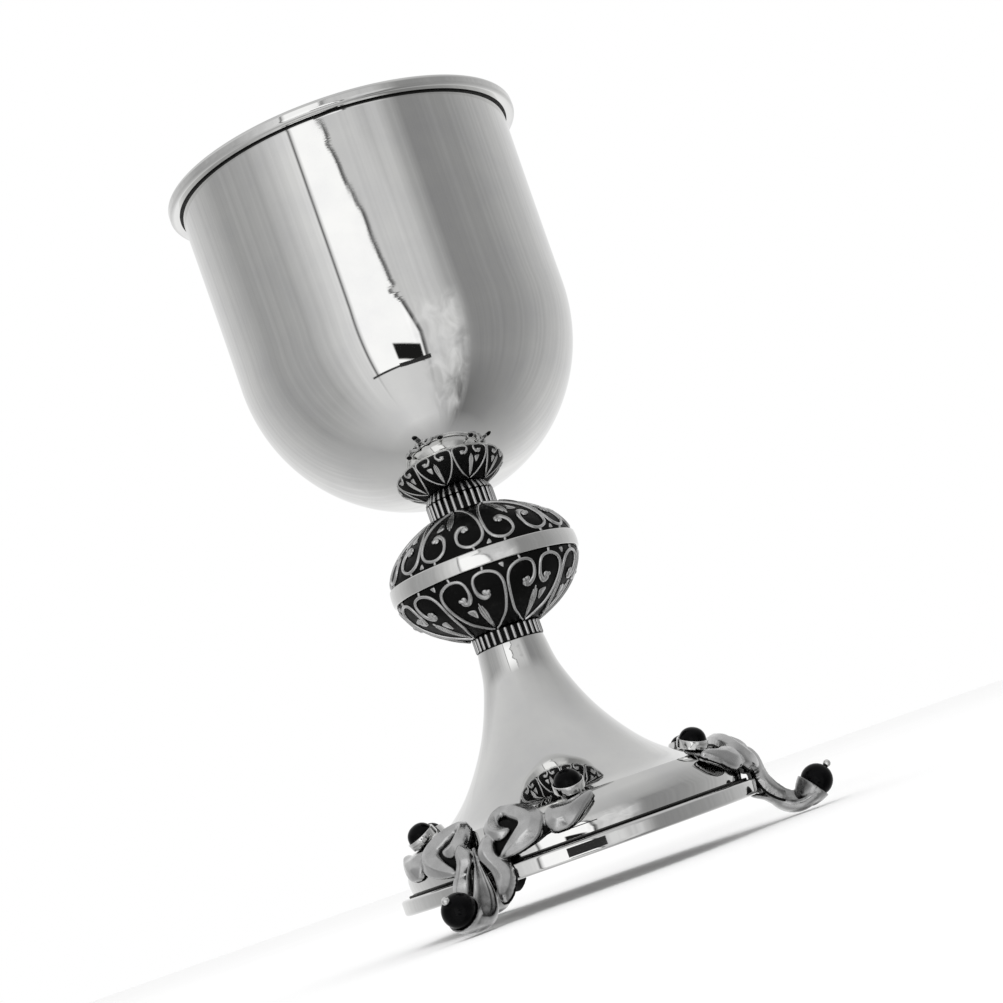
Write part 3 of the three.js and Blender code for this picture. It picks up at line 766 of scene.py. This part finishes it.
def keel_and_toe():
    """The keel is a bar with a sharp ridge and two raised edges, narrow at the top and wide at the cup.
    Behind it a short hook takes the edge of the ring plate."""
    path = smooth_path(KEEL, 70)
    path = np.stack([path[:, 0], 0 * path[:, 0], path[:, 1]], -1)
    along = np.gradient(path, axis=0)
    facing = unit(np.stack([-along[:, 2], 0 * along[:, 0], along[:, 0]], -1))
    section = smooth_path(KEEL_SECTION, 49, closed=True)[:-1]
    keel = swept(path, facing, KEEL_WIDE, KEEL_DEEP, section)
    hook = smooth_path([(37.2, 0, 4.2), (36.2, 0, 4.9), (34.8, 0, 5.6)], 16)
    hook = swept(hook, np.repeat([[0.0, 0.0, -1.0]], 16, 0), [2.0, 1.8, 1.4], [0.9, 0.6, 0.5], oval(16))
    return [keel, hook]


# %% Melt the bars into one casting
def melted(name, bars, material, voxel):
    """Voxel remesh of overlapping closed bars into one skin, then a light smoothing, both applied."""
    piece = make_piece(name, bars, material, None, loose=True)
    remesh = piece.modifiers.new("melt", "REMESH")
    remesh.mode, remesh.voxel_size, remesh.use_smooth_shade = "VOXEL", voxel * MM, True
    relax = piece.modifiers.new("soften", "SMOOTH")
    relax.factor, relax.iterations = 0.5, 3
    seen = bpy.context.evaluated_depsgraph_get()
    mesh = bpy.data.meshes.new_from_object(piece.evaluated_get(seen))
    mesh.name = name
    piece.modifiers.clear()
    piece.data = mesh
    return piece


def points_of(piece):
    """The piece's points in millimetres from the cup's axis."""
    flat = np.empty(len(piece.data.vertices) * 3, np.float32)
    piece.data.vertices.foreach_get("co", flat)
    return (flat.reshape(-1, 3).astype(float) - AXIS) / MM


def set_points(piece, points):
    """Writes points in millimetres back into the piece's mesh."""
    piece.data.vertices.foreach_set("co", (points * MM + AXIS).astype(np.float32).ravel())
    piece.data.update()


SETTING = dict(out=25.2, side=16.2, height=18.1, lean=26, turn=36)


def in_setting(points, side):
    """Local +Z along the setting's own axis, which leans outwards to its own side, then to its place."""
    lean, turn = math.radians(SETTING["lean"]), side * math.radians(SETTING["turn"])
    axis = np.array([-math.sin(turn), math.cos(turn), 0])
    k = np.array([[0, -axis[2], axis[1]], [axis[2], 0, -axis[0]], [-axis[1], axis[0], 0]])
    spin = np.eye(3) + math.sin(lean) * k + (1 - math.cos(lean)) * k @ k
    return points @ spin.T + [SETTING["out"], side * SETTING["side"], SETTING["height"]]


def seats():
    """Under each setting a short bar ties it to the cupped leaf."""
    bars = []
    for side in (-1, 1):
        a = math.radians(32.7)
        path = smooth_path([(33.2 * math.cos(a), side * 33.2 * math.sin(a), 15.4),
                            (29.9 * math.cos(a), side * 29.9 * math.sin(a), 17.2)], 12)
        bars.append(swept(path, np.repeat([[0.0, 0.0, 1.0]], 12, 0), [2.0, 1.9], [0.8, 0.7], oval(16)))
    return bars


# The second piece is the black ground behind the lobes: the blackened ground, and painted shade round them.
for word, bars, voxel, material, slot, nodes in (
    ("leaf_foot", lobes() + keel_and_toe() + seats() + [cup_wall()], 0.155, leaf_silver, "cast_silver", True),
    ("leaf_ground_and_shade", ground(), 0.22, oxide_and_shade, "oxidised_scrollwork", False),
):
    first_piece = melted(word, bars, material, voxel)
    first = points_of(first_piece)
    first[:, 2] = np.maximum(first[:, 2], 0.0)
    for number in (1, 2, 3):
        piece = first_piece if number == 1 else added(word, first_piece.data.copy())
        piece.name = f"{word}_{number}"
        set_points(piece, about_axis(first, FOOT_TURN * (number - 1)))
        finish_piece(piece, slot, *([f"foot_{number}"] if nodes else []))

# %% [markdown]
# ## Stones, settings, beads and pins
# A cabochon is a low dome of onyx held by a thin strip of silver, its bezel, whose top edge is pressed in
# over the stone. The bead is drilled and pinned into the toe with a wire whose end was melted to a ball.

# %% Settings and stones
def round_section(radius, start, end, middle, steps=24):
    """Points of a circle's arc in the section, from one angle to another, in degrees above the horizon."""
    a = np.radians(np.linspace(start, end, steps))
    return np.stack([radius * np.cos(a), middle + radius * np.sin(a)], -1)


edge = round_section(0.16, 0, 180, 1.52, 9) + [2.74, 0]
cup_side = [[0, 0], [2.6, 0], [2.86, 0.12], [2.9, 0.3], [2.9, 1.3]]
bezel_line = np.vstack([cup_side, edge, [[2.58, 0.5], [0, 0.45]]])
a = np.radians(np.linspace(0, 90, 24))
dome = np.stack([2.54 * np.cos(a) ** 0.9, 1.35 + 2.35 * np.sin(a)], -1)
stone_line = np.vstack([[[0, 0.5], [2.5, 0.55]], dome])
a = np.radians(np.linspace(8, 172, 40))
bead_line = np.stack([3.1 * np.sin(a), -3.1 * np.cos(a)], -1)
bead_line = np.vstack([bead_line, [[0.45, 2.9], [0.45, -2.9]]])
pin_line = np.vstack([[[0, -3.4], [0.35, -3.3], [0.35, 2.9]], round_section(0.75, -62, 90, 3.66, 18)])

for number in (1, 2, 3):
    away = FOOT_TURN * (number - 1)
    for hand, side in (("right", -1), ("left", 1)):
        for word, line, material, slot in (("bezel", bezel_line, polished, "polished_silver"),
                                           ("cabochon", stone_line, onyx, "black_stone")):
            points, faces = turned(line, SMALL_ROUND, closed=False)
            points = about_axis(in_setting(points, side), away)
            name = f"{word}_{number}_{hand}"
            make_piece(name + "_fine", [(points, faces)], material, slot, name)
    for word, line, material, slot, ring in (("bead", bead_line, onyx, "black_stone", True),
                                             ("bead_pin", pin_line, polished, "polished_silver", False)):
        points, faces = turned(line, SMALL_ROUND, closed=ring)
        points = about_axis(in_bead_frame(points), away)
        make_piece(f"{word}_{number}_fine", [(points, faces)], material, slot, f"{word}_{number}")

# %% [markdown]
# ## Room and light
# Silver has to be lit by its surroundings. A white room with a few soft grey walls gives the long upright
# reflections on the bowl. The walls are bands of the world's own light, set by compass direction round the
# cup, so they stay where they are when the camera moves. A pale floor runs under the cup and meets the
# white behind it.

# %% Floor
def pale_floor(name):
    """Off-white studio paper with the faintest cloudiness."""
    material, tree = new_material(name)
    skin = node(tree, "ShaderNodeBsdfPrincipled", Roughness=0.9)
    cloud = noise(tree, 6, 2.0)
    tree.links.new(mixed(tree, remap(tree, cloud, 0.3, 0.7, 0, 1), (0.985,) * 3, (0.97,) * 3),
                   skin.inputs["Base Color"])
    tree.links.new(skin.outputs[0], tree.nodes["out"].inputs["Surface"])
    return material


FLOOR_REACH, FLOOR_HEIGHT = 6000.0, -0.2  # millimetres
corners = [(x * FLOOR_REACH, y * FLOOR_REACH, FLOOR_HEIGHT) for x, y in ((-1, -1), (1, -1), (1, 1), (-1, 1))]
floor_mesh = bpy.data.meshes.new("studio_floor")
floor_mesh.from_pydata((np.array(corners) * MM).tolist(), [], [(0, 1, 2, 3)])
floor_mesh.materials.append(pale_floor("pale paper"))
floor = added("studio_floor", floor_mesh)
floor.visible_glossy = False
floor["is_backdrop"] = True
print("floor at", FLOOR_HEIGHT, "mm, just under the feet")

# %% World
def shaded(tree, colour, value):
    """A colour times a value."""
    scaled = node(tree, "ShaderNodeVectorMath", operation="SCALE")
    tree.links.new(colour, scaled.inputs[0])
    tree.links.new(value, scaled.inputs["Scale"])
    return scaled.outputs[0]


# The light plan, as (compass degrees, brightness): the front is -Y and positive angles turn towards +X. A
# bright window with a dark frame stands in front, a little to the left. Grey walls darken to both sides of
# it, more on the right, and the room is pale behind the cup.
WINDOW_LEFT, WINDOW_RIGHT = -25, 6
WALLS = [(-180, 0.9), (-120, 0.5), (-95, 0.35), (-60, 0.4), (WINDOW_LEFT - 3, 0.75), (WINDOW_LEFT - 2, 0.1),
         (WINDOW_LEFT - 1, 0.1), (WINDOW_LEFT, 1.05), (WINDOW_RIGHT, 1.05), (WINDOW_RIGHT + 1, 0.05),
         (WINDOW_RIGHT + 2, 0.05), (WINDOW_RIGHT + 3.5, 0.6), (28, 0.6), (50, 0.25), (85, 0.3), (125, 0.5),
         (180, 0.9)]
# The ground near the cup, which shows in the bowl's underside, and the upper walls, which show in the stem.
GROUND = [(-180, 0.6), (-90, 0.4), (-20, 0.7), (0, 0.65), (40, 0.15), (80, 0.25), (180, 0.6)]
HIGH = [(-180, 0.7), (-20, 0.6), (45, 0.4), (90, 0.4), (180, 0.7)]


def compass_ramp(tree, compass, bands):
    """A colour ramp over the whole compass: position = (degrees + 180) / 360."""
    ramp = node(tree, "ShaderNodeValToRGB")
    tree.links.new(compass, ramp.inputs["Fac"])
    stops = ramp.color_ramp.elements
    for number, (angle, light) in enumerate(bands):
        stop = stops[number] if number < 2 else stops.new((angle + 180) / 360)
        stop.position = (angle + 180) / 360
        stop.color = (light,) * 3 + (1,)
    return ramp.outputs["Color"]


world = bpy.data.worlds.new("studio")
bpy.context.scene.world = world
world.use_nodes = True
tree = world.node_tree
tree.nodes.clear()
where = node(tree, "ShaderNodeTexCoord")
split = node(tree, "ShaderNodeSeparateXYZ")
tree.links.new(where.outputs["Generated"], split.inputs[0])
compass = node(tree, "ShaderNodeMath", operation="ARCTAN2")
tree.links.new(split.outputs["X"], compass.inputs[0])
tree.links.new(times(tree, split.outputs["Y"], -1), compass.inputs[1])
turn, rise = compass.outputs[0], split.outputs["Z"]


def room_noise(across, up, scale, detail, twist=0.0):
    """Noise over the room's walls, whose first two measures are across and up."""
    join = node(tree, "ShaderNodeCombineXYZ")
    tree.links.new(across, join.inputs[0])
    tree.links.new(up, join.inputs[1])
    cloud = node(tree, "ShaderNodeTexNoise", Scale=scale, Detail=detail, Distortion=twist)
    tree.links.new(join.outputs[0], cloud.inputs["Vector"])
    return cloud.outputs["Fac"]


def sector(left, right, soft):
    """1 between two compass angles and 0 outside, all in degrees."""
    return between(tree, turn, math.radians(left), math.radians(right), math.radians(soft))


# %% The window's torn side
# The bright window's right side is torn: it leans with height, as (rise, degrees moved), and noise frays it.
# rise is the upward part of a ray's direction, from -1 straight down to 1 straight up.
TORN = [(-0.2, 5), (0.15, 0), (0.28, -4), (0.335, -16), (0.36, -6)]
MOST_MOVED = 20  # degrees that a full stop of the ramp stands for, either way
FRAYED = 0.009  # of a whole turn, either way

drift = node(tree, "ShaderNodeValToRGB")
tree.links.new(remap(tree, rise, -1, 1, 0, 1), drift.inputs["Fac"])
stops = drift.color_ramp.elements
for number, (height, moved) in enumerate(TORN):
    stop = stops[number] if number < 2 else stops.new((height + 1) / 2)
    stop.position = (height + 1) / 2
    stop.color = ((moved + MOST_MOVED) / (2 * MOST_MOVED),) * 3 + (1,)
fray = remap(tree, room_noise(times(tree, turn, 0), rise, 95, 6.0), 0.3, 0.7, -FRAYED, FRAYED)
torn = plus(tree, remap(tree, drift.outputs["Color"], 0, 1, MOST_MOVED / 360, -MOST_MOVED / 360),
            times(tree, fray, remap(tree, rise, 0.12, 0.24, 0, 1)))
torn = times(tree, torn, sector(-14, 26, 4))
position = plus(tree, remap(tree, turn, -math.pi, math.pi, 0, 1), torn)
print("window from", WINDOW_LEFT, "to", WINDOW_RIGHT, "degrees")

# %% Walls, ground and ceiling
walls, ground, high = (compass_ramp(tree, position, bands) for bands in (WALLS, GROUND, HIGH))
streaks = remap(tree, room_noise(turn, times(tree, rise, 0.02), 15, 4.0), 0.3, 0.7, 0.92, 1.08)
beside = remap(tree, sector(WINDOW_LEFT, WINDOW_RIGHT, 1), 0, 1, 1, 0)
walls = mixed(tree, beside, walls, shaded(tree, walls, streaks))

# The walls end softly at the ground, and with a sharp line inside the window.
below = remap(tree, rise, -0.45, -0.8, 0, 1)
sill = times(tree, times(tree, sector(-28, 14, 3), remap(tree, below, 0, 1, 1, 0)),
             remap(tree, rise, -0.46, -0.48, 0, 1))
room = mixed(tree, plus(tree, below, sill), walls, ground)

# A crumpled cloth hangs beside the window, on its right.
folds = remap(tree, room_noise(turn, rise, 4.5, 7.0, 0.9), 0.42, 0.66, 0.0, 0.7)
cloth = times(tree, sector(9, 42, 5), between(tree, rise, -0.93, 0.12, 0.08))
room = mixed(tree, times(tree, cloth, folds), room, (0.78,) * 3)

room = mixed(tree, remap(tree, rise, -0.9, -1.0, 0, 1), room, (0.4,) * 3)  # straight down
room = mixed(tree, remap(tree, rise, 0.34, 0.52, 0, 1), room, high)
room = mixed(tree, remap(tree, rise, 0.5, 0.85, 0, 1), room, (0.56,) * 3)  # overhead

# The table's dark edge runs along the foot of the window, and a black box stands there on a slant.
THIN = math.degrees(0.01)
table_edge = times(tree, between(tree, rise, -0.475, -0.455, 0.004), sector(-31, 12, THIN))
tilted = plus(tree, rise, times(tree, turn, 0.3))
box = times(tree, between(tree, tilted, -0.44, -0.27, 0.01), sector(-8, 10, THIN))
room = mixed(tree, table_edge, room, (0.03,) * 3)
room = mixed(tree, box, room, (0.012,) * 3)

# %% The room for reflections, plain white for the camera
sky = node(tree, "ShaderNodeBackground", Strength=1.0)
tree.links.new(room, sky.inputs["Color"])
blank = node(tree, "ShaderNodeBackground", Color=(1, 1, 1, 1), Strength=1.0)
ray = node(tree, "ShaderNodeLightPath")
choose = node(tree, "ShaderNodeMixShader")
tree.links.new(ray.outputs["Is Glossy Ray"], choose.inputs[0])
tree.links.new(blank.outputs[0], choose.inputs[1])
tree.links.new(sky.outputs[0], choose.inputs[2])
out = node(tree, "ShaderNodeOutputWorld")
tree.links.new(choose.outputs[0], out.inputs["Surface"])
bpy.context.scene.view_settings.view_transform = "Standard"
print("room of", len(tree.nodes), "nodes")


# %% Cards
def card(name, left, right, low, high, distance, light):
    """An upright card that only reflections see, between two compass angles at a distance from the cup."""
    angle = np.radians([left, right, right, left])
    height = np.array([low, low, high, high])
    corners = np.stack([distance * np.sin(angle), -distance * np.cos(angle), height], -1) * MM + AXIS
    mesh = bpy.data.meshes.new(name)
    mesh.from_pydata(corners.tolist(), [], [(0, 1, 2, 3)])
    material, tree = new_material(name)
    glow = node(tree, "ShaderNodeEmission", Color=(light, light, light, 1), Strength=1.0)
    tree.links.new(glow.outputs[0], tree.nodes["out"].inputs["Surface"])
    mesh.materials.append(material)
    made = added(name, mesh)
    made.visible_camera = made.visible_diffuse = made.visible_shadow = False
    made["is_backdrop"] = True


card("dark_card", -8, 14, 2, 13, 210, 0.03)
print("dark card in front of the ring plate")


# %% Lamp
def soft_lamp(name, place, aim, size, power):
    """A square area lamp at place, turned towards aim, both in metres."""
    data = bpy.data.lights.new(name, "AREA")
    data.size, data.energy = size, power
    lamp = added(name, data)
    away = np.array(aim) - np.array(place)
    flat = math.hypot(away[0], away[1])
    lamp.visible_glossy = False
    lamp.location = place
    lamp.rotation_euler = (math.atan2(flat, -away[2]), 0, math.atan2(away[0], -away[1]) + math.pi)
    return lamp


lamp = soft_lamp("window", (-0.25, -1.1, 1.2), (0, 0, 0.06), 0.9, 6)
print("lamp of", lamp.data.energy, "W")

# %% [markdown]
# ## Camera
# The cup is seen from low down: the lens is about as high as the base's moulding and looks a little upwards.
# The camera is also rolled, so that the cup leans in the picture.

# %% Camera
YAW, PITCH, ROLL = -0.0194, 0.162, -0.3401  # radians
EYE = np.array([0, -0.391, 0.0116])  # metres from the foot of the cup's axis
FOCAL_LENGTH, SENSOR_WIDTH = 72.7, 36  # millimetres
right = np.array([math.cos(YAW), math.sin(YAW), 0])
level = np.array([-math.sin(YAW), math.cos(YAW), 0])
ahead = math.cos(PITCH) * level + math.sin(PITCH) * np.array([0, 0, 1])
above = -math.sin(PITCH) * level + math.cos(PITCH) * np.array([0, 0, 1])
across = math.cos(ROLL) * right + math.sin(ROLL) * above
upward = -math.sin(ROLL) * right + math.cos(ROLL) * above
lens = bpy.data.cameras.new("camera")
lens.lens, lens.sensor_width = FOCAL_LENGTH, SENSOR_WIDTH
lens.clip_start, lens.clip_end = 0.01, 50
camera = added("camera", lens)
turned_to = np.eye(4)
turned_to[:3, 0], turned_to[:3, 1], turned_to[:3, 2] = across, upward, -ahead
turned_to[:3, 3] = AXIS + EYE
camera.matrix_world = mathutils.Matrix(turned_to.tolist())
bpy.context.scene.camera = camera
print("camera", round(float(np.hypot(EYE[0], EYE[1])), 3), "m from the cup's axis")

# %% Sizes and finish
shown_low, shown_high = (list(corner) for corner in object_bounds())
for word, low, high in (("solids", solid_low, solid_high), ("dressed", shown_low, shown_high)):
    print(word, np.round(np.array(high) - low, 4))
